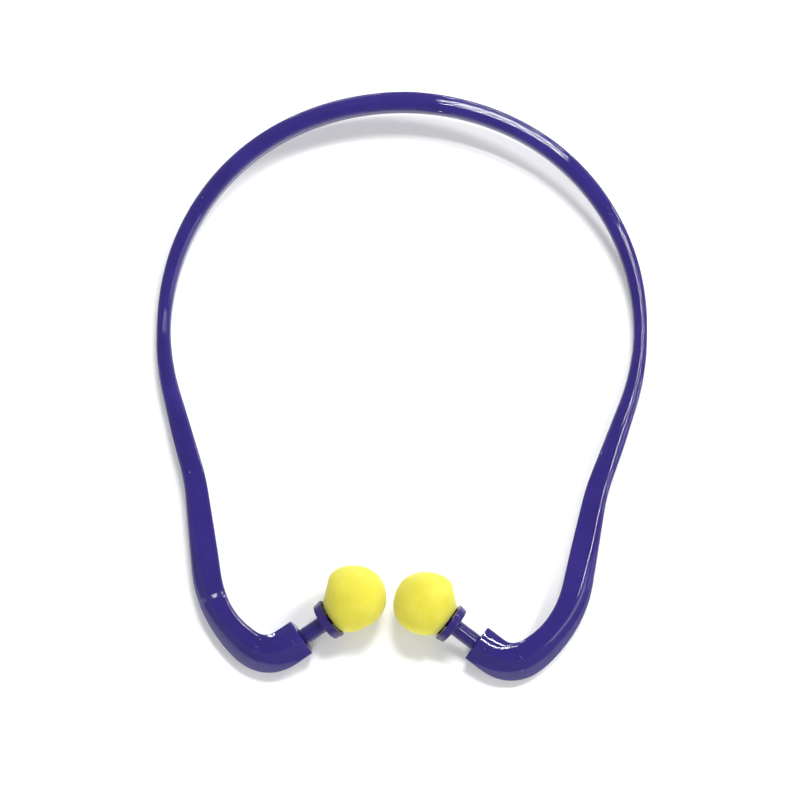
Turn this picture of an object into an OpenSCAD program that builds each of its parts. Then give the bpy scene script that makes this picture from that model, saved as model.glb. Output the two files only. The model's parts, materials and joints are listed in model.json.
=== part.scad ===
// Banded ear plugs: a springy one-piece headband whose two hooked ends hold
// turnable stems, and each stem carries a soft foam ball.
// Millimetres. X runs across the head, Y from the plugs towards the crown, and
// Z up from the surface that the flat underside of the arms lies on. The crown
// rises gently off that surface.

/* [Ring of the band] */
// Centreline radius of the flatter stretch over the crown
crown_r = 72.5; // [68:0.5:78]
// Half of the angle that the crown stretch turns through
crown_turn = 28; // [20:1:34]
// Centreline radius of the round shoulders
shoulder_r = 64.5; // [60:0.5:70]
// Angle that each shoulder turns through
shoulder_turn = 43; // [36:1:50]
// Centreline radius of the sides of the ring
side_r = 65.3; // [60:0.1:72]
// Angle that each side turns through
side_turn = 37.5; // [30:0.5:44]
// Angle from the middle of the crown to the cut where each arm flexes
flex_angle = 45; // [36:1:60]
// Gap left in the flex cut
flex_gap = 0.04; // [0.02:0.01:0.2]
// How far the crown stands above the surface that the arms lie on
crown_lift = 7; // [0:0.5:10]
// Distance in Y over which the band rises to the crown
lift_run = 72; // [50:1:90]

/* [Arms and hooks] */
// Length of the straight run below the ring
upper_run = 19.9; // [15:0.1:25]
// Centreline radius of the slight outward bend in the arm
relief_r = 57; // [40:1:80]
// Angle of the slight outward bend
relief_turn = 9.5; // [5:0.5:12]
// Length of the straight run above the hook
lower_run = 22.4; // [16:0.1:28]
// Centreline radius where the hook begins
hook_r = 31.5; // [25:0.5:36]
// Angle of the gentle part of the hook
hook_turn = 45; // [38:1:50]
// Centreline radius of the tight elbow
elbow_r = 9.9; // [9:0.1:12]
// Angle of the tight elbow
elbow_turn = 71; // [66:1:76]

/* [Band section] */
// Width and height over the crown
crown_size = [5.6, 5.6]; // [4:0.1:8]
// Width and height at the shoulders
shoulder_size = [5.1, 5.4]; // [4:0.1:8]
// Width and height at the slim sides
side_size = [3.9, 5.2]; // [3.5:0.1:8]
// Width and height where the arm starts
arm_size = [5.2, 5.6]; // [4:0.1:9]
// Width and height at the outward bend
relief_size = [6.4, 6.2]; // [5:0.1:9]
// Width and height where the hook starts
hook_size = [8.4, 7.4]; // [6:0.1:10]
// Width and height where the elbow starts
elbow_size = [9.8, 8.6]; // [8:0.1:11]
// Width and height in the middle of the elbow
elbow_mid_size = [10.9, 9]; // [8:0.1:11]
// Radius that rounds the edges of the band
edge_r = 1.2; // [0.5:0.1:1.6]

/* [Sockets] */
// Width and height of the block that holds each stem
block_size = [10.8, 9.6]; // [9.5:0.1:12]
// Length of the block along its outer side
block_len = 5.3; // [4:0.1:7]
// Length of the block along its inner side
block_inner_len = 8.4; // [7:0.1:10]
// How far the block and its socket sit inwards from the band's centreline
block_shift = 0.25; // [0:0.1:1]
// Radius that rounds the edges of the block
block_edge_r = 1.8; // [1:0.1:2.2]
// Upward tilt of the socket, which lifts the foam balls clear of the surface
socket_tilt = 12; // [10:0.5:14]
// Height of the socket's mouth above the surface
socket_z = 5.2; // [5:0.1:5.6]
// Depth of the socket
socket_depth = 8.4; // [7:0.1:9]
// Radius of the shallow recess around the socket's mouth
recess_r = 3.6; // [3:0.1:3.8]
// Depth of the recess
recess_depth = 0.9; // [0.4:0.1:1.5]

/* [Stems] */
// Radius of the stem
stem_r = 2.35; // [2:0.05:2.6]
// Radial clearance between the stem and its socket
running_gap = 0.05; // [0.03:0.01:0.08]
// Length of stem seen between the block and the collar
stem_len = 7.6; // [6:0.1:9]
// Radius of the collar
collar_r = 5.85; // [5:0.05:6.5]
// Thickness of the collar
collar_t = 2.5; // [1.5:0.1:3]
// How far the snap ring stands out of the stem
snap_height = 0.2; // [0.1:0.05:0.3]

/* [Foam balls] */
// Radius of the foam ball
ball_r = 8.65; // [7.5:0.05:9]
// Distance from the socket's mouth to the middle of the ball
ball_reach = 18.4; // [17.5:0.1:19]
// Radius of the foam's skirt where it meets the collar
skirt_r = 5.6; // [5:0.1:6]
// Open gap between the collar's rim and the skirt
skirt_gap = 0.6; // [0.3:0.1:1]

/* [Hidden] */
band_color = [0.21, 0.17, 0.50];
stem_color = [0.23, 0.19, 0.53];
foam_color = [0.93, 0.90, 0.34];
tiny = 0.01;
far = 60;
$fn = 96;

// The elbow ends in line with the outer side of the block
elbow_end_size = [block_size[0] - 2 * block_shift, block_size[1] - 0.2];

// Stretches of the right half of the centreline, from the crown to the socket:
// [turn (clockwise is positive, 0 is straight), radius or length, size at the end]
stretches = [
    [crown_turn, crown_r, mix(crown_size, shoulder_size, 0.6)],
    [flex_angle - crown_turn, shoulder_r, shoulder_size],
    [crown_turn + shoulder_turn - flex_angle, shoulder_r, mix(shoulder_size, side_size, 0.6)],
    [side_turn / 2, side_r, side_size],
    [side_turn / 2, side_r, arm_size],
    [0, upper_run, relief_size],
    [-relief_turn, relief_r, mix(relief_size, hook_size, 0.2)],
    [0, lower_run, hook_size],
    [hook_turn, hook_r, elbow_size],
    [elbow_turn / 2, elbow_r, elbow_mid_size],
    [elbow_turn / 2, elbow_r, elbow_end_size],
    [0, block_len - 1.5, elbow_end_size]
];
crown_last = 1;
arm_last = len(stretches) - 1;
degrees_per_ring = 6;
length_per_ring = 5;

function mix(a, b, f) = a + (b - a) * f;

function ease(f) = f * f * (3 - 2 * f);

// Pose [x, y, heading] at a fraction of the way along a stretch
function along(pose, stretch, f) =
    let (turn = stretch[0], size = stretch[1], h = pose[2] - turn * f)
    turn == 0
    ? [pose[0] + size * f * cos(h), pose[1] + size * f * sin(h), h]
    : [
        pose[0] + sign(turn) * size * (sin(pose[2]) - sin(h)),
        pose[1] - sign(turn) * size * (cos(pose[2]) - cos(h)),
        h
    ];

// Pose where stretch i starts, with the middle of the crown's centreline at the origin
function start_of(i) = i == 0 ? [0, 0, 0] : along(start_of(i - 1), stretches[i - 1], 1);

function ring_count(stretch) =
    stretch[0] == 0
    ? max(2, ceil(stretch[1] / length_per_ring))
    : max(2, ceil(abs(stretch[0]) / degrees_per_ring));

function size_before(i) = i == 0 ? crown_size : stretches[i - 1][2];

// Rings [x, y, heading, [width, height]] along a run of stretches
function rings(first, last) = [
    for (i = [first:last])
        let (pose = start_of(i), count = ring_count(stretches[i]))
            for (k = [0:(i == last ? count : count - 1)])
                let (p = along(pose, stretches[i], k / count))
                    [p[0], p[1], p[2], mix(size_before(i), stretches[i][2], ease(k / count))]
];

// Height of the band's underside at a Y measured from the middle of the crown
function rise(y) = crown_lift * ease(max(0, 1 + y / lift_run));

function mirrored(ring) = [-ring[0], ring[1], -ring[2], ring[3]];

// Outline of a section that stands on z = 0, with four points on each rounded corner
function section(size, r) = [
    for (corner = [0:3])
        for (k = [0:3])
            let (
                a = 90 * corner + 30 * k,
                side = corner == 0 || corner == 3 ? 1 : -1,
                top = corner < 2 ? 1 : -1
            )
                [
                    side * (size[0] / 2 - r) + r * cos(a),
                    size[1] / 2 + top * (size[1] / 2 - r) + r * sin(a)
                ]
];

// The arm's first ring stands off the crown's last one by the flex gap
arm_run = rings(crown_last + 1, arm_last);
arm_start = along(arm_run[0], [0, flex_gap], 1);
arm_rings = [
    for (k = [0:len(arm_run) - 1])
        k == 0 ? [arm_start[0], arm_start[1], arm_start[2], arm_run[0][3]] : arm_run[k]
];
crown_half = rings(0, crown_last);
crown_rings = concat([for (k = [len(crown_half) - 1:-1:1]) mirrored(crown_half[k])], crown_half);

// The band is centred between its highest and lowest points
band_top = crown_size[0] / 2;
band_bottom = min([for (r = arm_rings) r[1] - abs(cos(r[2])) * r[3][0] / 2]);
crown_y = (band_top - band_bottom) / 2 - band_top;

// Mouth of the right socket and the plan angle of its axis
mouth_turn = crown_turn + shoulder_turn + side_turn - relief_turn + hook_turn + elbow_turn;
elbow_end = start_of(arm_last);
mouth = [
    elbow_end[0] + block_len * cos(elbow_end[2]) + block_shift * sin(elbow_end[2]),
    elbow_end[1] + block_len * sin(elbow_end[2]) - block_shift * cos(elbow_end[2]) + crown_y,
    socket_z
];

// Places along the stem, measured from the socket's mouth
collar_back = stem_len;
collar_front = stem_len + collar_t;
dish_floor = collar_front - 0.6;
stem_tip = 0.4 - socket_depth;
snap_at = -4;
core_end = ball_reach + 2;
core_r = 1.6;
barb_r = 2.4;
barbs = [dish_floor + 4, dish_floor + 7];

module sweep(ring_list) {
    outlines = [for (ring = ring_list) section(ring[3], edge_r)];
    m = len(outlines[0]);
    n = len(ring_list);
    points = [
        for (i = [0:n - 1])
            let (ring = ring_list[i], z = rise(ring[1]))
                for (p = outlines[i])
                    [ring[0] - p[0] * sin(ring[2]), ring[1] + p[0] * cos(ring[2]), p[1] + z]
    ];
    sides = [
        for (i = [0:n - 2])
            for (j = [0:m - 1])
                let (k = (j + 1) % m)
                    [i * m + j, (i + 1) * m + j, (i + 1) * m + k, i * m + k]
    ];
    first_cap = [for (j = [0:m - 1]) j];
    last_cap = [for (j = [m - 1:-1:0]) (n - 1) * m + j];
    translate([0, crown_y, 0])
        polyhedron(points = points, faces = concat([first_cap, last_cap], sides));
}

// Puts +Z along the right socket's axis, with the mouth at z = 0
module at_right_socket() {
    translate(mouth)
        rotate([0, 90 - socket_tilt, -mouth_turn])
            children();
}

// A thin slab of the block's section, a distance back from the mouth in plan
module block_slab(back, size, aside) {
    translate([mouth[0], mouth[1], 0])
        rotate([0, 0, -mouth_turn])
            translate([-back, aside, 0])
                rotate([90, 0, 90])
                    linear_extrude(tiny)
                        polygon(section(size, block_edge_r));
}

// Block at the end of the right hook, longer along its inner side
module block() {
    inner_w = block_size[0] / 2;
    hull() {
        block_slab(-1.5, block_size, 0);
        block_slab(block_len, block_size, 0);
        block_slab(block_inner_len, [inner_w, block_size[1]], -inner_w / 2);
    }
}

module band_arm() {
    difference() {
        union() {
            sweep(arm_rings);
            block();
        }
        at_right_socket() {
            translate([0, 0, -socket_depth])
                cylinder(h = socket_depth + 1, r = stem_r + running_gap);
            translate([0, 0, snap_at - 0.6])
                cylinder(h = 1.2, r = stem_r + snap_height + running_gap);
            translate([0, 0, -recess_depth])
                cylinder(h = recess_depth + 1, r = recess_r);
            translate([-far / 2, -far / 2, 0])
                cube([far, far, 5]);
        }
    }
}

// Post inside the foam, with barbs; grown by a margin it is also the foam's cavity
module core(margin) {
    rotate_extrude()
        polygon(concat(
            [[0, dish_floor - 0.5], [core_r + margin, dish_floor - 0.5]],
            [
                for (b = barbs)
                    each [
                        [core_r + margin, b - margin],
                        [barb_r + margin, b - margin],
                        [barb_r + margin, b + 0.5],
                        [core_r + margin, b + 2]
                    ]
            ],
            [[core_r + margin, core_end - 0.6], [core_r - 0.6 + margin, core_end + margin], [0, core_end + margin]]
        ));
}

module pod_stem() {
    rotate_extrude()
        polygon([
            [0, stem_tip],
            [stem_r - 0.5, stem_tip],
            [stem_r, stem_tip + 0.6],
            [stem_r, snap_at - 0.4],
            [stem_r + snap_height, snap_at - 0.2],
            [stem_r + snap_height, snap_at + 0.2],
            [stem_r, snap_at + 0.4],
            [stem_r, collar_back - 0.6],
            [stem_r + 0.2, collar_back - 0.2],
            [stem_r + 0.7, collar_back],
            [collar_r - 0.7, collar_back],
            [collar_r - 0.2, collar_back + 0.4],
            [collar_r, collar_front - 0.3],
            [collar_r - 0.2, collar_front],
            [collar_r - 0.8, collar_front],
            [collar_r - 1.2, dish_floor],
            [0, dish_floor]
        ]);
    core(0);
}

module foam_ball() {
    skirt_at = collar_front + skirt_gap;
    back = ball_reach - skirt_at;
    tangent = atan2(skirt_r, -back) - acos(ball_r / norm([skirt_r, back]));
    difference() {
        union() {
            translate([0, 0, ball_reach])
                sphere(r = ball_r);
            translate([0, 0, skirt_at])
                cylinder(h = back + ball_r * cos(tangent), r1 = skirt_r, r2 = ball_r * sin(tangent));
            translate([0, 0, dish_floor + running_gap])
                cylinder(h = skirt_at - dish_floor, r = collar_r - 1.5);
        }
        core(running_gap);
    }
}

module band_crown() {
    color(band_color)
        sweep(crown_rings);
}

module band_arm_right() {
    color(band_color)
        band_arm();
}

module band_arm_left() {
    color(band_color)
        mirror([1, 0, 0])
            band_arm();
}

module pod_stem_right() {
    color(stem_color)
        at_right_socket()
            pod_stem();
}

module pod_stem_left() {
    color(stem_color)
        mirror([1, 0, 0])
            at_right_socket()
                pod_stem();
}

module foam_ball_right() {
    color(foam_color)
        at_right_socket()
            foam_ball();
}

module foam_ball_left() {
    color(foam_color)
        mirror([1, 0, 0])
            at_right_socket()
                foam_ball();
}

band_crown();
band_arm_left();
band_arm_right();
pod_stem_left();
pod_stem_right();
foam_ball_left();
foam_ball_right();
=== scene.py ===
import json
import math

import bpy
import numpy as np
from mathutils import Matrix, Vector, noise


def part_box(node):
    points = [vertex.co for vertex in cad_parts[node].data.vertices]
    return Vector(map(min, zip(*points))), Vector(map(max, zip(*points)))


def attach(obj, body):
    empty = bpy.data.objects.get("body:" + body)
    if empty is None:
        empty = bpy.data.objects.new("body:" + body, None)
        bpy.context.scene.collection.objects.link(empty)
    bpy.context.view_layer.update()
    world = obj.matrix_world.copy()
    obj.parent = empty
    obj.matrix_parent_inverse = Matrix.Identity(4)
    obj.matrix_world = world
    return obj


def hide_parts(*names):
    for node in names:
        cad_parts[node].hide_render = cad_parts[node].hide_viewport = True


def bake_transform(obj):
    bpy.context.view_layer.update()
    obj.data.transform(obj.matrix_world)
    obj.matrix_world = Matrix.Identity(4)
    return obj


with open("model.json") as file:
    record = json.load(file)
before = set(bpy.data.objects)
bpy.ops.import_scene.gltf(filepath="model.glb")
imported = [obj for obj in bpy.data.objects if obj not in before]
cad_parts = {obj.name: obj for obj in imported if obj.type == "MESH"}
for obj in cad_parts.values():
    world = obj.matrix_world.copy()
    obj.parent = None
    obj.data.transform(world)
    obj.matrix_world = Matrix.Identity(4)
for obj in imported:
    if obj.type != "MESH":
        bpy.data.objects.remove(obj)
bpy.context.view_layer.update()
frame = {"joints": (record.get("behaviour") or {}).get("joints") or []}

# Banded ear plugs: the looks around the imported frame.
# Lengths are in millimetres up to mesh_object(), which turns them into metres.
MM = 0.001
joints = {j["name"]: j for j in frame["joints"]}

# ---------------------------------------------------------------- the band's path
# Stretches of the right half, crown to socket: (clockwise turn in degrees, radius or length)
CROWN = (28, 72.5)
SHOULDER = (43, 64.5)
SIDE = (37.5, 65.3)
UPPER_RUN = (0, 19.9)
RELIEF = (-9.5, 57)
LOWER_RUN = (0, 22.4)
HOOK = (45, 31.5)
ELBOW = (71, 9.9)
BLOCK = (0, 5.3)
STRETCHES = (CROWN, SHOULDER, SIDE, UPPER_RUN, RELIEF, LOWER_RUN, HOOK, ELBOW, BLOCK)
CROWN_WIDTH = 5.6
CROWN_LIFT = 7.0      # how far the crown stands above the surface that the arms lie on
LIFT_RUN = 72.0       # distance in Y over which the band rises to the crown
BLOCK_HALF_WIDTH = 5.4
FINE = 0.1            # sampling of the path
BEND_EASE = 4.0       # length over which one bend turns into the next
RING_STEP = 0.6       # distance between the rings of the skin
END_INSET = 0.35      # rounding of the edge of the socket's mouth
LEAN_RUN = 2          # length before the block over which the rings start to lean

# ---------------------------------------------------------------- the band's section
# Where along the path: (stretch, fraction), outer and inner half widths, height,
# outer bevel (width, drop), inner bevel (width, drop), how far the outer wall's foot is tucked in,
# hollow of the top (negative: crowned)
SECTIONS = (
    (0, 0.0, 2.85, 2.85, 5.6, (1.5, 0.75), (1.0, 1.0), 0.2, -0.16),
    (0, 0.3, 2.70, 2.80, 5.6, (1.5, 0.75), (1.0, 1.0), 0.2, -0.16),
    (1, 0.4, 2.60, 2.50, 5.4, (1.2, 0.70), (1.0, 1.1), 0.2, -0.14),
    (2, 0.0, 2.35, 2.20, 5.3, (0.9, 0.70), (1.0, 1.2), 0.2, -0.12),
    (2, 0.5, 1.85, 2.10, 5.2, (0.8, 0.70), (1.0, 1.2), 0.2, -0.10),
    (3, 0.0, 2.40, 2.85, 5.6, (1.2, 0.80), (1.4, 1.1), 0.2, -0.10),
    (3, 0.5, 3.00, 3.00, 5.9, (1.7, 0.85), (1.4, 0.8), 0.3, -0.06),
    (4, 0.0, 3.20, 3.15, 6.2, (1.2, 0.70), (1.0, 0.5), 0.4, -0.03),
    (5, 0.0, 3.40, 3.40, 6.4, (1.3, 0.85), (0.6, 0.4), 0.5, 0.03),
    (5, 0.5, 3.80, 3.95, 6.7, (1.7, 1.20), (0.6, 0.4), 0.7, 0.04),
    (6, 0.0, 4.15, 4.35, 7.0, (2.5, 2.20), (0.6, 0.5), 1.0, 0.05),
    (6, 0.2, 4.15, 4.35, 7.2, (2.9, 2.90), (0.6, 0.5), 1.2, 0.05),
    (6, 0.6, 4.20, 4.35, 7.7, (3.7, 4.40), (0.6, 0.5), 1.4, 0.06),
    (7, 0.0, 4.90, 4.95, 8.1, (4.5, 5.40), (0.7, 0.5), 1.6, 0.06),
    (7, 0.5, 5.45, 5.30, 8.5, (5.0, 6.00), (1.4, 0.6), 1.6, 0.04),
    (8, 0.0, 5.15, 5.40, 8.9, (4.6, 4.20), (4.2, 1.4), 1.5, 0.0),
    (8, 1.0, 5.15, 5.65, 9.1, (4.4, 3.20), (4.3, 1.45), 1.4, 0.0),
)
KNEE = (6, 0.25)      # where the top steps up into the hook
KNEE_RISE = {"right": 0.0, "left": 0.85}
KNEE_RUN = 2.4
KNEE_RING_STEP = 0.12
SECTION_EASE = 6.0    # length over which one size turns into the next
KINK_EASE = 0.25      # softness of the inner corner between the elbow and the block
INNER_TUCK = 0.8      # how far the inner wall's foot is tucked in on the arms
BOTTOM_ROUND = 0.9
WALL_ROUND = 0.6
BEVEL_ROUND = 1.5
INNER_BEVEL_ROUND = 0.8
OUTER_BULGE = 0.026   # how far a bevel bulges, as a share of its width
INNER_BULGE = 0.045
CORNER_POINTS = 7
CORNER_SHARE = 0.47   # most that a rounded corner may take of the sides beside it
PARTING_RIDGE = 0.05  # how far the mould's parting line stands out of the side walls

# ---------------------------------------------------------------- sockets, stems, foam
SOCKET_Z = 5.2
SOCKET_TILT = math.radians(12)
SOCKET_DEPTH = 8.4
MOUTH_TILT = math.radians(4)    # lean of the block's end face, less than the socket's own tilt
RECESS_R = 3.1
RECESS_DEPTH = 0.8
BORE_R = 2.4
STEM_R = 2.35
STEM_TIP = -8.0
SNAP_AT = -4.0
COLLAR_BACK = 7.6
COLLAR_FRONT = 10.1
COLLAR_R = 5.85
DISH_FLOOR = 9.5
POST_R = 1.6
BARB_R = 2.4
BARBS = (13.5, 16.5)
BARB_STEP = 0.5
BARB_LENGTH = 2
POST_END = 20.4
POST_POINT = 0.6
BALL_R = 8.9
BALL_AT = 18.4
SKIRT_AT = 11.0
SKIRT_R = 5.2
FIT = 0.05            # clearance between the post and the foam
STEM_AROUND = 96
MARK_AROUND = 32

SIDES = (("right", 1), ("left", -1))


def smooth(values, span):
    """Moving average over a length of the fine path, with the ends held."""
    half = max(1, round(span / FINE / 2))
    padded = np.pad(values, half, mode="edge")
    kernel = np.ones(2 * half + 1) / (2 * half + 1)
    return np.convolve(padded, kernel, mode="valid")


def ease(t):
    t = np.clip(t, 0, 1)
    return t * t * (3 - 2 * t)


def rise(y):
    """Height of the band's underside at a Y measured from the middle of the crown."""
    return CROWN_LIFT * ease(1 + y / LIFT_RUN)


def unit(v):
    return np.asarray(v, float) / np.linalg.norm(v)


def socket_frame(side_name):
    """Mouth, axis and the direction across the socket that points inwards, in millimetres."""
    joint = joints[side_name + "_pod_turn"]
    mouth = np.array(joint["pos_m"]) / MM
    axis = unit(joint["axis"])
    across = unit([-axis[1] * np.sign(axis[0]), axis[0] * np.sign(axis[0]), 0])
    return mouth, axis, across


def mesh_object(name, points, faces, material, sharp_degrees=50):
    mesh = bpy.data.meshes.new(name)
    mesh.from_pydata((np.asarray(points) * MM).tolist(), [], faces)
    mesh.validate()
    mesh.shade_smooth()
    mesh.set_sharp_from_angle(angle=math.radians(sharp_degrees))
    mesh.materials.append(material)
    obj = bpy.data.objects.new(name, mesh)
    bpy.context.scene.collection.objects.link(obj)
    return obj


def tube_faces(ring_count, ring_size, first=0):
    """Quads that join rings of points, one after the other."""
    return [
        [
            first + i * ring_size + j,
            first + i * ring_size + (j + 1) % ring_size,
            first + (i + 1) * ring_size + (j + 1) % ring_size,
            first + (i + 1) * ring_size + j,
        ]
        for i in range(ring_count - 1)
        for j in range(ring_size)
    ]


# ---------------------------------------------------------------- materials
NOISE_RANGE = (0.3, 0.7)    # where most of a noise's values lie
UNEVEN_POLISH = 0.025


def new_material(name):
    material = bpy.data.materials.new(name)
    material.use_nodes = True
    tree = material.node_tree
    shader = tree.nodes["Principled BSDF"]
    place = tree.nodes.new("ShaderNodeTexCoord")
    return material, tree, shader, place.outputs["Object"]


def noise_node(tree, place, scale, detail=3.0, roughness=0.5, stretch=(1, 1, 1)):
    """Noise in object space; scale is in waves per metre."""
    mapping = tree.nodes.new("ShaderNodeMapping")
    mapping.inputs["Scale"].default_value = stretch
    tree.links.new(place, mapping.inputs["Vector"])
    node = tree.nodes.new("ShaderNodeTexNoise")
    node.inputs["Scale"].default_value = scale
    node.inputs["Detail"].default_value = detail
    node.inputs["Roughness"].default_value = roughness
    tree.links.new(mapping.outputs["Vector"], node.inputs["Vector"])
    return node.outputs["Fac"]


def spread(tree, value, from_low, from_high, low, high):
    node = tree.nodes.new("ShaderNodeMapRange")
    for socket, number in (
        ("From Min", from_low), ("From Max", from_high), ("To Min", low), ("To Max", high),
    ):
        node.inputs[socket].default_value = number
    tree.links.new(value, node.inputs["Value"])
    return node.outputs["Result"]


def mix_colours(tree, factor, first, second):
    node = tree.nodes.new("ShaderNodeMix")
    node.data_type = "RGBA"
    node.inputs["A"].default_value = (*first, 1)
    node.inputs["B"].default_value = (*second, 1)
    tree.links.new(factor, node.inputs["Factor"])
    return node.outputs["Result"]


def bump(tree, height, distance, strength, before=None):
    node = tree.nodes.new("ShaderNodeBump")
    node.inputs["Distance"].default_value = distance
    node.inputs["Strength"].default_value = strength
    tree.links.new(height, node.inputs["Height"])
    if before is not None:
        tree.links.new(before, node.inputs["Normal"])
    return node.outputs["Normal"]


def plastic(name, dark, light, gloss):
    """Glossy moulded plastic: faint flow marks, uneven polish and hairline scratches."""
    material, tree, shader, place = new_material(name)
    flow = noise_node(tree, place, scale=90, detail=4.0, roughness=0.55, stretch=(1, 1, 2.5))
    tree.links.new(
        mix_colours(tree, spread(tree, flow, *NOISE_RANGE, 0, 1), dark, light),
        shader.inputs["Base Color"],
    )
    polish = noise_node(tree, place, scale=450, detail=5.0, roughness=0.6)
    tree.links.new(
        spread(tree, polish, *NOISE_RANGE, gloss, gloss + UNEVEN_POLISH), shader.inputs["Roughness"]
    )
    waves = noise_node(tree, place, scale=160, detail=1.0, roughness=0.4)
    scratches = noise_node(tree, place, scale=2600, detail=2.0, roughness=0.5, stretch=(1, 0.06, 1))
    normal = bump(tree, waves, distance=0.00025, strength=0.03)
    normal = bump(tree, scratches, distance=0.00002, strength=0.05, before=normal)
    tree.links.new(normal, shader.inputs["Normal"])
    shader.inputs["IOR"].default_value = 1.45
    return material


def foam_material(name):
    """Soft yellow foam: fine open cells, mottling and light that passes into it."""
    material, tree, shader, place = new_material(name)
    mottle = noise_node(tree, place, scale=260, detail=4.0, roughness=0.6)
    tree.links.new(
        mix_colours(
            tree, spread(tree, mottle, 0.32, 0.68, 0, 1), (0.482, 0.443, 0.040), (0.526, 0.487, 0.068)
        ),
        shader.inputs["Base Color"],
    )
    cells = tree.nodes.new("ShaderNodeTexVoronoi")
    cells.inputs["Scale"].default_value = 2200
    tree.links.new(place, cells.inputs["Vector"])
    grain = noise_node(tree, place, scale=1300, detail=3.0, roughness=0.6)
    normal = bump(tree, cells.outputs["Distance"], distance=0.00012, strength=0.35)
    normal = bump(tree, grain, distance=0.0002, strength=0.3, before=normal)
    tree.links.new(normal, shader.inputs["Normal"])
    shader.inputs["Roughness"].default_value = 0.85
    shader.inputs["Specular IOR Level"].default_value = 0.25
    shader.inputs["Subsurface Weight"].default_value = 1.0
    shader.inputs["Subsurface Radius"].default_value = (1.0, 0.9, 0.3)
    shader.inputs["Subsurface Scale"].default_value = 0.016
    shader.inputs["Sheen Weight"].default_value = 0.1
    return material


band_plastic = plastic("band_plastic", (0.018, 0.011, 0.112), (0.024, 0.015, 0.142), gloss=0.022)
stem_plastic = plastic("stem_plastic", (0.015, 0.009, 0.090), (0.022, 0.013, 0.125), gloss=0.17)
yellow_foam = foam_material("yellow_foam")


# ---------------------------------------------------------------- band
def band_path():
    """Distance, place and heading along the right half, from the crown's middle to the mouth."""
    lengths = np.array(
        [size if turn == 0 else math.radians(abs(turn)) * size for turn, size in STRETCHES]
    )
    ends = np.cumsum(lengths)
    rates = np.array([-math.radians(turn) for turn, _ in STRETCHES]) / lengths
    along = np.arange(0, ends[-1] + FINE / 2, FINE)
    which = np.minimum(np.searchsorted(ends, along, side="right"), len(ends) - 1)
    rate = smooth(rates[which], BEND_EASE)
    heading = np.concatenate([[0], np.cumsum((rate[1:] + rate[:-1]) / 2) * FINE])
    middle = (heading[1:] + heading[:-1]) / 2
    steps = np.column_stack([np.cos(middle), np.sin(middle)]) * FINE
    crown_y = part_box("band_crown")[1].y / MM - CROWN_WIDTH / 2
    places = np.vstack([[0, 0], np.cumsum(steps, axis=0)]) + [0, crown_y]
    mouth, axis, _ = socket_frame("right")
    # the path ends beside the socket's middle: only the drift along the socket is taken out
    aim = unit(axis[:2])
    drift = (mouth[:2] - places[-1]) @ aim * aim
    places = places + np.outer(ease(along / along[-1]), drift)
    return along, places, heading, ends - lengths, lengths


def section_columns(name, along, places, heading, starts, lengths):
    """Sizes of the section at each fine step of the path."""
    at = [starts[i] + f * lengths[i] for i, f, *_ in SECTIONS]
    rows = np.array(
        [[wo, wi, h, *outer, *inner, *rest] for _, _, wo, wi, h, outer, inner, *rest in SECTIONS]
    )
    columns = [smooth(np.interp(along, at, rows[:, k]), SECTION_EASE) for k in range(rows.shape[1])]
    # the block's inner side is straight, and meets the elbow in a soft corner
    mouth, _, across = socket_frame("right")
    corner = mouth[:2] + across[:2] * BLOCK_HALF_WIDTH
    outward = np.column_stack([-np.sin(heading), np.cos(heading)])
    near = along > starts[-1] - 0.6 * lengths[-2]
    line = ((places - corner) @ across[:2])[near] / (outward @ across[:2])[near]
    inner = columns[1].copy()
    gap = inner[near] - line
    inner[near] = (inner[near] + line + np.sqrt(gap**2 + KINK_EASE**2)) / 2
    columns[1] = inner
    knee = starts[KNEE[0]] + KNEE[1] * lengths[KNEE[0]]
    columns[2] = columns[2] + KNEE_RISE[name] * ease((along - knee) / KNEE_RUN)
    # the inner wall is upright on the crown, and leans under along the side
    columns.append(INNER_TUCK * ease((along - starts[2]) / lengths[2]))
    return columns


def rounded_outline(corners, reaches, edges):
    """Closed outline with rounded corners. edges[k] lists (fraction, outward offset) after corner k."""
    count = len(corners)
    starts, ends = [], []
    for k in range(count):
        back = corners[k - 1] - corners[k]
        on = corners[(k + 1) % count] - corners[k]
        room = CORNER_SHARE * min(np.linalg.norm(back), np.linalg.norm(on))
        reach = min(reaches[k], room)
        starts.append(corners[k] + unit(back) * reach)
        ends.append(corners[k] + unit(on) * reach)
    outline = []
    for k in range(count):
        for t in np.linspace(0, 1, CORNER_POINTS):
            outline.append((1 - t) ** 2 * starts[k] + 2 * t * (1 - t) * corners[k] + t * t * ends[k])
        edge = starts[(k + 1) % count] - ends[k]
        outward = unit([edge[1], -edge[0]])
        for f, offset in edges[k]:
            outline.append(ends[k] + edge * f + outward * offset)
    return np.array(outline)


def band_section(wo, wi, h, outer_w, outer_d, inner_w, inner_d, tuck, hollow, inner_tuck):
    """Outline (outwards, up): flat underside, two walls with a parting line, bevelled top."""
    corners = [
        np.array(p)
        for p in (
            (-wi + inner_tuck, 0), (wo - tuck, 0), (wo, h - outer_d),
            (wo - outer_w, h), (-wi + inner_w, h), (-wi, h - inner_d),
        )
    ]
    reaches = (BOTTOM_ROUND, BOTTOM_ROUND, WALL_ROUND, BEVEL_ROUND, INNER_BEVEL_ROUND, WALL_ROUND)
    wall = [(0.3, 0), (0.46, 0), (0.5, PARTING_RIDGE), (0.54, 0), (0.7, 0)]
    top = [(f, -hollow * (1 - (2 * f - 1) ** 2)) for f in (0.08, 0.25, 0.5, 0.75, 0.92)]
    outer_bevel, inner_bevel = (
        [(f, bulge * 4 * f * (1 - f) * math.hypot(w, d)) for f in (0.2, 0.4, 0.6, 0.8)]
        for w, d, bulge in ((outer_w, outer_d, OUTER_BULGE), (inner_w, inner_d, INNER_BULGE))
    )
    bottom = [(0.1, 0), (0.5, 0), (0.9, 0)]
    return rounded_outline(corners, reaches, [bottom, wall, outer_bevel, top, inner_bevel, wall])


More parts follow.
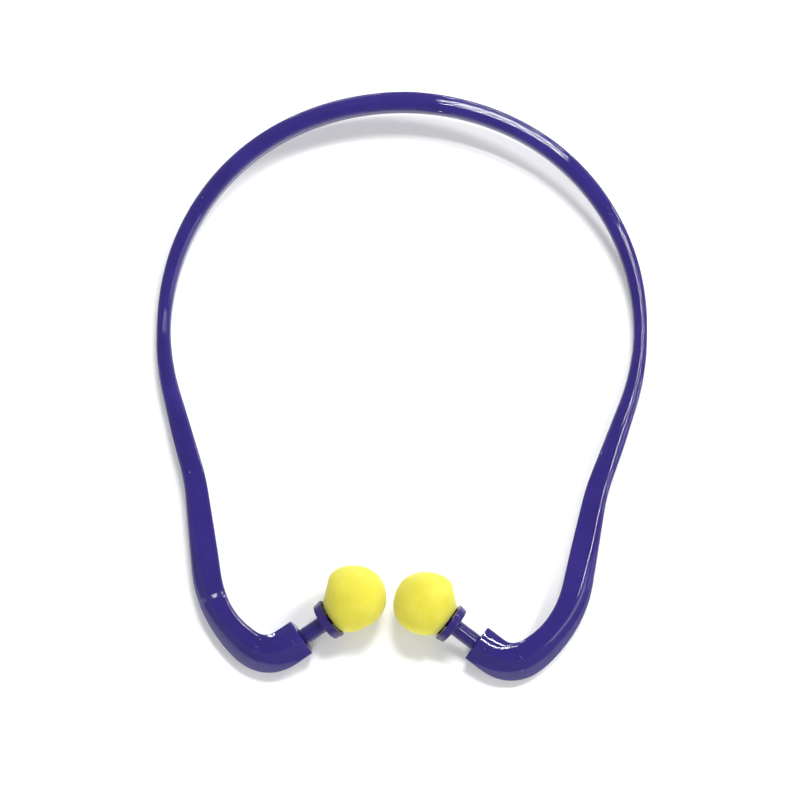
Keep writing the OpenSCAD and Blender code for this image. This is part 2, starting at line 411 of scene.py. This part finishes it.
def band_half(name):
    """Points and faces of one half of the band, drawn on the right: from x = 0 to the bore."""
    along, places, heading, starts, lengths = band_path()
    columns = section_columns(name, along, places, heading, starts, lengths)
    mouth, axis, across = socket_frame("right")
    total = along[-1]
    knee = starts[KNEE[0]] + KNEE[1] * lengths[KNEE[0]]
    ring_at = np.linspace(0, total - END_INSET, round((total - END_INSET) / RING_STEP) + 1)
    ring_at = ring_at[(ring_at < knee - RING_STEP) | (ring_at > knee + KNEE_RUN + RING_STEP)]
    fine = np.arange(knee - KNEE_RING_STEP, knee + KNEE_RUN + 2 * KNEE_RING_STEP, KNEE_RING_STEP)
    ring_at = np.sort(np.concatenate([ring_at, fine]))
    lean_from = total - BLOCK[1] - LEAN_RUN
    rings = []
    for s in ring_at:
        k = min(int(round(s / FINE)), len(along) - 1)
        place = [np.interp(s, along, places[:, 0]), np.interp(s, along, places[:, 1])]
        turn = np.interp(s, along, heading)
        forward = np.array([math.cos(turn), math.sin(turn)])
        outward = np.array([-forward[1], forward[0]])
        outline = band_section(*[c[k] for c in columns])
        lean = math.tan(MOUTH_TILT) * ease((s - lean_from) / (total - lean_from))
        plan = place + np.outer(outline[:, 0], outward) - np.outer((outline[:, 1] - SOCKET_Z) * lean, forward)
        rings.append(np.column_stack([plan, outline[:, 1] + rise(place[1] - places[0][1])]))
    size = len(rings[0])
    # rounded edge of the mouth, its face, the recess and the bore
    up = np.cross(-across, axis)
    face = unit([*(unit(axis[:2]) * math.cos(MOUTH_TILT)), math.sin(MOUTH_TILT)])

    def on_face(ring):
        return ring - np.outer((ring - mouth) @ face / (axis @ face), axis)

    last = on_face(rings[-1])
    spoke = last - mouth
    reach = np.linalg.norm(spoke, axis=1)[:, None]
    for a in np.radians((30, 60, 90)):
        inset = 1 - END_INSET * (1 - math.cos(a)) / reach
        rings.append(mouth + spoke * inset - axis * END_INSET * (1 - math.sin(a)))
    rim = rings[-1]
    first = math.atan2((rim[0] - mouth) @ up, (rim[0] - mouth) @ -across)
    steps = np.arange(size) * 2 * math.pi / size

    def unit_circle(turns):
        return np.outer(np.cos(turns), -across) + np.outer(np.sin(turns), up)

    # the circle runs the same way round as the rim
    quarter = size // 4
    there = rim[quarter] - mouth
    circle = unit_circle(first + steps)
    with_rim, against_rim = (
        np.linalg.norm(there - circle[k] * reach[quarter]) for k in (quarter, -quarter)
    )
    if with_rim > against_rim:
        circle = unit_circle(first - steps)
    edge = on_face(mouth + circle * (RECESS_R + 0.1))
    rings.append((rim + edge) / 2)
    rings.append(edge)
    rings.append(on_face(mouth + circle * RECESS_R) - axis * 0.1)
    for radius, depth in (
        (RECESS_R, RECESS_DEPTH - 0.1), (RECESS_R - 0.1, RECESS_DEPTH),
        (BORE_R + 0.15, RECESS_DEPTH), (BORE_R, RECESS_DEPTH + 0.15), (BORE_R, SOCKET_DEPTH),
    ):
        rings.append(mouth + circle * radius - axis * depth)
    points = np.vstack(rings)
    faces = tube_faces(len(rings), size)
    faces.append(list(range(size - 1, -1, -1)))
    faces.append([(len(rings) - 1) * size + j for j in range(size)])
    return points, faces


def hold(obj):
    """Skin of the crown and one arm, with its placement baked into its mesh."""
    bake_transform(obj)


for name, side in SIDES:
    points, faces = band_half(name)
    faces = faces if side > 0 else [f[::-1] for f in faces]
    half = mesh_object("band_" + name, points * [side, 1, 1], faces, band_plastic)
    hold(half)
    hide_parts("band_crown", "band_arm_" + name)


# ---------------------------------------------------------------- stems
def lathe(profile, count, mouth, axis, across):
    """Closed solid of revolution about a socket's axis. profile: (radius, distance from the mouth)."""
    other = np.cross(axis, across)
    rows = [p for p in profile if p[0] > 0]
    points = []
    for r, z in rows:
        for j in range(count):
            a = 2 * math.pi * j / count
            points.append(mouth + across * (r * math.cos(a)) + other * (r * math.sin(a)) + axis * z)
    faces = tube_faces(len(rows), count)
    start, end = len(points), len(points) + 1
    points.append(mouth + axis * profile[0][1])
    points.append(mouth + axis * profile[-1][1])
    last = (len(rows) - 1) * count
    faces += [[start, (j + 1) % count, j] for j in range(count)]
    faces += [[end, last + j, last + (j + 1) % count] for j in range(count)]
    return np.array(points), faces


def arc(centre, radius, start, end, count):
    """Points (radius, distance) on an arc of a profile; angles in degrees."""
    return [
        (centre[0] + radius * math.cos(a), centre[1] + radius * math.sin(a))
        for a in np.radians(np.linspace(start, end, count))
    ]


def stem_profile():
    fillet = 0.9
    profile = [(0, STEM_TIP), (STEM_R - 0.5, STEM_TIP)]
    profile += [(STEM_R, STEM_TIP + 0.6), (STEM_R, SNAP_AT - 0.4)]
    profile += [(STEM_R + 0.2, SNAP_AT - 0.2), (STEM_R + 0.2, SNAP_AT + 0.2), (STEM_R, SNAP_AT + 0.4)]
    profile += [(STEM_R, z) for z in np.linspace(-2, COLLAR_BACK - fillet - 0.1, 5)]
    profile += arc((STEM_R + fillet, COLLAR_BACK - fillet), fillet, 180, 90, 8)
    profile += [(COLLAR_R - 1.4, COLLAR_BACK + 0.05), (COLLAR_R - 0.75, COLLAR_BACK + 0.1)]
    profile += arc((COLLAR_R - 0.5, COLLAR_BACK + 0.35), 0.25, -90, -10, 5)
    profile += [(COLLAR_R - 0.2, COLLAR_BACK + 0.8), (COLLAR_R, COLLAR_FRONT - 0.25)]
    profile += arc((COLLAR_R - 0.12, COLLAR_FRONT - 0.12), 0.12, 0, 90, 4)
    profile += [(COLLAR_R - 0.7, COLLAR_FRONT), (COLLAR_R - 0.85, COLLAR_FRONT - 0.1)]
    profile += [(COLLAR_R - 1.2, DISH_FLOOR + 0.1), (COLLAR_R - 1.35, DISH_FLOOR), (POST_R, DISH_FLOOR)]
    for b in BARBS:
        profile += [(POST_R, b), (BARB_R, b), (BARB_R, b + BARB_STEP), (POST_R, b + BARB_LENGTH)]
    return profile + [(POST_R, POST_END - POST_POINT), (POST_R - POST_POINT, POST_END), (0, POST_END)]


for name, side in SIDES:
    points, faces = lathe(stem_profile(), STEM_AROUND, *socket_frame(name))
    stem = mesh_object("stem_" + name, points, faces, stem_plastic, 35)
    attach(stem, name + "_pod")
    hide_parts("pod_stem_" + name)


# ---------------------------------------------------------------- mould marks
# Where: (stretch, fraction, offset outwards, radius)
PIPS = (
    (0, 0.06, -2.1, 0.4), (1, 0.66, 0.7, 0.5), (1, 0.70, 0.3, 0.45), (4, 0.3, 0.9, 0.5),
    (7, 0.3, -3.2, 0.5), (7, 0.28, -0.4, 0.95), (7, 0.3, 2.6, 0.6),
)
PIP_HEIGHT = 0.28
RING_MARK = (8, 0.55, 0.2)
RING_MARK_R = 0.95
RING_MARK_WIDTH = 0.16
RING_MARK_HEIGHT = 0.1
SUNK = 0.3            # how deep the marks reach into the skin
PROBE = 0.2           # distance to each side over which the skin's slope is taken


def on_top(name, stretch, fraction, offset):
    """Point, normal and outward direction on the band's upper skin, drawn on the right."""
    along, places, heading, starts, lengths = band_path()
    columns = section_columns(name, along, places, heading, starts, lengths)
    k = round((starts[stretch] + fraction * lengths[stretch]) / FINE)
    outline = band_section(*[c[k] for c in columns])
    upper = outline[outline[:, 1] > columns[2][k] - columns[4][k] - 0.1]
    upper = upper[np.argsort(upper[:, 0])]
    low, z, high = np.interp([offset - PROBE, offset, offset + PROBE], upper[:, 0], upper[:, 1])
    outward = np.array([-math.sin(heading[k]), math.cos(heading[k]), 0])
    point = np.array([*places[k], z + rise(places[k][1] - places[0][1])]) + outward * offset
    slope = (high - low) / (2 * PROBE)
    return point, unit(np.array([0, 0, 1]) - outward * slope), unit(outward + [0, 0, slope])


def mould_marks(name):
    """Ejector pips and the ring on the block, as closed shells sunk in the skin."""
    points, faces = [], []
    r = RING_MARK_R
    ring = [(0, -SUNK), (r + RING_MARK_WIDTH, -SUNK), (r + RING_MARK_WIDTH, 0), (r, RING_MARK_HEIGHT)]
    ring += [(r - RING_MARK_WIDTH, 0), (r - 2 * RING_MARK_WIDTH, -0.05), (0, -0.05)]
    shapes = [(ring, RING_MARK)]
    for stretch, fraction, offset, radius in PIPS:
        dome = [(0, -SUNK), (radius, -SUNK), (radius, 0)]
        dome += [(radius * math.cos(a), PIP_HEIGHT * math.sin(a)) for a in np.radians((20, 40, 60, 75))]
        shapes.append((dome + [(0, PIP_HEIGHT)], (stretch, fraction, offset)))
    for profile, where in shapes:
        more, more_faces = lathe(profile, MARK_AROUND, *on_top(name, *where))
        faces += [[i + len(points) for i in face] for face in more_faces]
        points += more.tolist()
    return np.array(points), faces


for name, side in SIDES:
    points, faces = mould_marks(name)
    faces = faces if side > 0 else [f[::-1] for f in faces]
    marks = mesh_object("marks_" + name, points * [side, 1, 1], faces, band_plastic)
    hold(marks)


# ---------------------------------------------------------------- foam balls
CORNER_ANGLE = 106    # angle from the tip at which the flank's upper edge stands
CORNER_START = 55     # angle from the tip at which the ball starts to swell towards that edge
CORNER_OUT = 0.6      # how far that edge stands out of the sphere
LUMP = 0.14           # unevenness of the moulded foam
LUMP_SIZE = 5.0
CELL = 0.035          # relief of the open cells
CELL_SIZE = 0.55
FOAM_ROWS = 110
FOAM_AROUND = 200
SHIFT_OVER = 6        # length from the skirt over which the ball moves off the stem's axis
PLAIN_ROWS = 6        # rows next to the skirt over which the lumps fade out
# for each ball: shift across the stem, shift along it, place in the noise
FOAM_LOOK = {"right": (0.1, 0.0, 3.1), "left": (1.05, 0.7, 11.7)}


def foam_profile(cornered):
    """Ball and flank as (radius, distance), from the tip to the skirt; cornered is 0 or 1."""
    skirt_back = BALL_AT - SKIRT_AT
    skirt_turn = math.atan2(SKIRT_R, -skirt_back)
    reach = math.hypot(SKIRT_R, skirt_back)
    turns = np.linspace(0, skirt_turn, FOAM_ROWS)
    if cornered:
        corner = math.radians(CORNER_ANGLE)
        out = BALL_R + CORNER_OUT
        a = out * np.array([math.sin(corner), math.cos(corner)])
        b = reach * np.array([math.sin(skirt_turn), math.cos(skirt_turn)])
        normal = unit([(b - a)[1], -(b - a)[0]])
        along_flank = np.abs(np.column_stack([np.sin(turns), np.cos(turns)]) @ normal)
        flank = abs(a @ normal) / np.maximum(0.2, along_flank)
        start = math.radians(CORNER_START)
        ball = BALL_R + CORNER_OUT * ease((turns - start) / (corner - start))
        radii = np.where(turns > corner, flank, ball)
        radii = np.convolve(np.pad(radii, 1, mode="edge"), np.ones(3) / 3, mode="valid")
    else:
        tangent = skirt_turn - math.acos(BALL_R / reach)
        radii = np.where(turns > tangent, BALL_R / np.cos(turns - tangent), BALL_R)
    return radii * np.sin(turns), BALL_AT + radii * np.cos(turns)


def foam_ball(name):
    shift, forward, seed = FOAM_LOOK[name]
    mouth, axis, across = socket_frame(name)
    other = np.cross(axis, across)
    count = FOAM_AROUND
    plain_r, plain_z = foam_profile(0)
    edge_r, edge_z = foam_profile(1)
    rows = []
    angles = np.arange(count) * 2 * math.pi / count
    facing = ease((np.cos(angles) + 0.1) / 0.9)
    for k in range(1, len(plain_r)):
        r = plain_r[k] + (edge_r[k] - plain_r[k]) * facing
        z = plain_z[k] + (edge_z[k] - plain_z[k]) * facing
        move = ease((z - SKIRT_AT) / SHIFT_OVER)
        rows.append((r * np.cos(angles) + shift * move, r * np.sin(angles), z + forward * move))
    ball_rows = len(rows)
    # the rolled back face, then the hole round the barbed post
    hole, barb = POST_R + FIT, BARB_R + FIT
    inside = [(SKIRT_R - 0.15, SKIRT_AT - 0.2), (SKIRT_R - 0.6, SKIRT_AT - 0.3), (hole, SKIRT_AT - 0.35)]
    for b in BARBS:
        inside += [(hole, b - FIT), (barb, b - FIT), (barb, b + BARB_STEP), (hole, b + BARB_LENGTH)]
    inside += [(hole, POST_END - POST_POINT), (POST_R - 0.5, POST_END + FIT)]
    for r, z in inside:
        rows.append((r * np.cos(angles), r * np.sin(angles), np.full(count, z)))
    points = []
    for k, (x, y, z) in enumerate(rows):
        depth = ease((ball_rows - 2 - k) / PLAIN_ROWS)
        for j in range(count):
            p = Vector((x[j], y[j], z[j]))
            if depth > 0:
                outward = (p - Vector((0, 0, BALL_AT))).normalized()
                place = p + Vector((seed * 10, 0, 0))
                lump = LUMP * noise.noise(place / LUMP_SIZE)
                cell = CELL * noise.noise(place / CELL_SIZE)
                p = p + outward * float(depth) * (lump + cell)
            points.append(mouth + across * p.x + other * p.y + axis * p.z)
    faces = tube_faces(len(rows), count)
    tip, end = len(points), len(points) + 1
    points.append(mouth + across * shift + axis * (BALL_AT + forward + BALL_R))
    points.append(mouth + axis * (POST_END + FIT))
    last = (len(rows) - 1) * count
    faces += [[tip, (j + 1) % count, j] for j in range(count)]
    faces += [[end, last + j, last + (j + 1) % count] for j in range(count)]
    # the rows run from the tip to the stem, so the faces turn inside out
    return np.array(points), [f[::-1] for f in faces]


for name, side in SIDES:
    points, faces = foam_ball(name)
    foam = mesh_object("foam_" + name, points, faces, yellow_foam, 70)
    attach(foam, name + "_pod")
    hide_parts("foam_ball_" + name)


# ---------------------------------------------------------------- floor, light, camera
FLOOR_SIZE = 4.0
mesh = bpy.data.meshes.new("floor")
half = FLOOR_SIZE / 2
corners = [(-half, -half, 0), (half, -half, 0), (half, half, 0), (-half, half, 0)]
mesh.from_pydata(corners, [], [(0, 1, 2, 3)])
floor = bpy.data.objects.new("floor", mesh)
bpy.context.scene.collection.objects.link(floor)
white, tree, shader, place = new_material("floor_white")
tree.links.new(
    mix_colours(tree, noise_node(tree, place, 40, 3.0), (0.88, 0.88, 0.88), (0.91, 0.91, 0.91)),
    shader.inputs["Base Color"],
)
shader.inputs["Roughness"].default_value = 0.9
shader.inputs["Specular IOR Level"].default_value = 0.1
floor.data.materials.append(white)

world = bpy.data.worlds.new("studio")
bpy.context.scene.world = world
world.use_nodes = True
tree = world.node_tree
background = tree.nodes["Background"]
direction = tree.nodes.new("ShaderNodeTexCoord")
parts = tree.nodes.new("ShaderNodeSeparateXYZ")
tree.links.new(direction.outputs["Generated"], parts.inputs["Vector"])
ramp = tree.nodes.new("ShaderNodeValToRGB")
tree.links.new(parts.outputs["Z"], ramp.inputs["Fac"])
ramp.color_ramp.elements[0].position = 0.0
ramp.color_ramp.elements[0].color = (0.6, 0.6, 0.62, 1)
ramp.color_ramp.elements[1].position = 0.95
ramp.color_ramp.elements[1].color = (0.35, 0.35, 0.36, 1)
middle = ramp.color_ramp.elements.new(0.55)
middle.color = (0.8, 0.8, 0.81, 1)
tree.links.new(ramp.outputs["Color"], background.inputs["Color"])
background.inputs["Strength"].default_value = 0.75


LIGHT_DISTANCE = 1.3


def place_from(azimuth, elevation, distance, centre=(0, 0, 0)):
    """Point seen from the centre at an azimuth from +X and an elevation, both in degrees."""
    a, e = math.radians(azimuth), math.radians(elevation)
    toward = Vector((math.cos(a) * math.cos(e), math.sin(a) * math.cos(e), math.sin(e)))
    return Vector(centre) + distance * toward


def aimed(where, target, sideways, roll=0.0):
    """Matrix of a light or camera that looks from a place at a target; roll in degrees."""
    back = (where - target).normalized()
    right = sideways.cross(back).normalized()
    up = back.cross(right)
    c, s = math.cos(math.radians(roll)), math.sin(math.radians(roll))
    axes = (right * c + up * s, up * c - right * s, back)
    return Matrix.Translation(where) @ Matrix(axes).transposed().to_4x4()


def area_light(name, azimuth, elevation, size, power):
    """Rectangular light aimed at the origin; size is (along the horizon, upwards)."""
    data = bpy.data.lights.new(name, "AREA")
    data.shape = "RECTANGLE"
    data.size, data.size_y = size
    data.energy = power
    obj = bpy.data.objects.new(name, data)
    bpy.context.scene.collection.objects.link(obj)
    where = place_from(azimuth, elevation, LIGHT_DISTANCE)
    obj.matrix_world = aimed(where, Vector((0, 0, 0)), Vector((0, 0, 1)))
    return obj


# each light: name, azimuth, elevation, size in metres, power in watts
# twin tubes at the top draw the lines of light along the crown and the blocks
area_light("tube_far", 72, 56, (0.44, 0.011), 5.5)
area_light("tube_near", 72, 62, (0.44, 0.011), 5.5)
# soft keys beside them give the shadows, a fill at the front lightens them
soft = [
    area_light("soft_key", 76, 62, (0.35, 0.20), 1.5),
    area_light("side_key", 38, 37, (0.25, 0.20), 9.5),
    area_light("front_fill", -100, 32, (1.0, 0.6), 8.0),
]
# a window on the right lights the sloping faces
area_light("window", -22, 36, (0.6, 0.5), 2.5)
# small lamps draw glints: the right shoulder's edge, the step of the left arm, the right arm
glints = [
    area_light("lamp_right", 34, 25, (0.22, 0.02), 1.2),
    area_light("lamp_left_low", 109, 21, (0.40, 0.07), 9.0),
    area_light("lamp_left_high", 109, 28, (0.40, 0.05), 6.0),
    area_light("strip", 8, 64, (0.24, 0.010), 2.2),
]
for light in soft:
    light.visible_glossy = False
for light in glints:
    light.visible_diffuse = False

CAMERA_AZIMUTH = -64.23
CAMERA_ELEVATION = 81.29
CAMERA_DISTANCE = 1.4
CAMERA_ROLL = 2.144
CAMERA_AIM = (0.0001, -0.0038, 0.0)
LENS = 220.545
SENSOR = 36.0
camera_data = bpy.data.cameras.new("camera")
camera_data.sensor_width = SENSOR
camera_data.lens = LENS
camera_data.clip_end = 20
camera = bpy.data.objects.new("camera", camera_data)
bpy.context.scene.collection.objects.link(camera)
eye = place_from(CAMERA_AZIMUTH, CAMERA_ELEVATION, CAMERA_DISTANCE, CAMERA_AIM)
camera.matrix_world = aimed(eye, Vector(CAMERA_AIM), Vector((0, 1, 0)), CAMERA_ROLL)
bpy.context.scene.camera = camera

bpy.context.scene.view_settings.view_transform = "Standard"
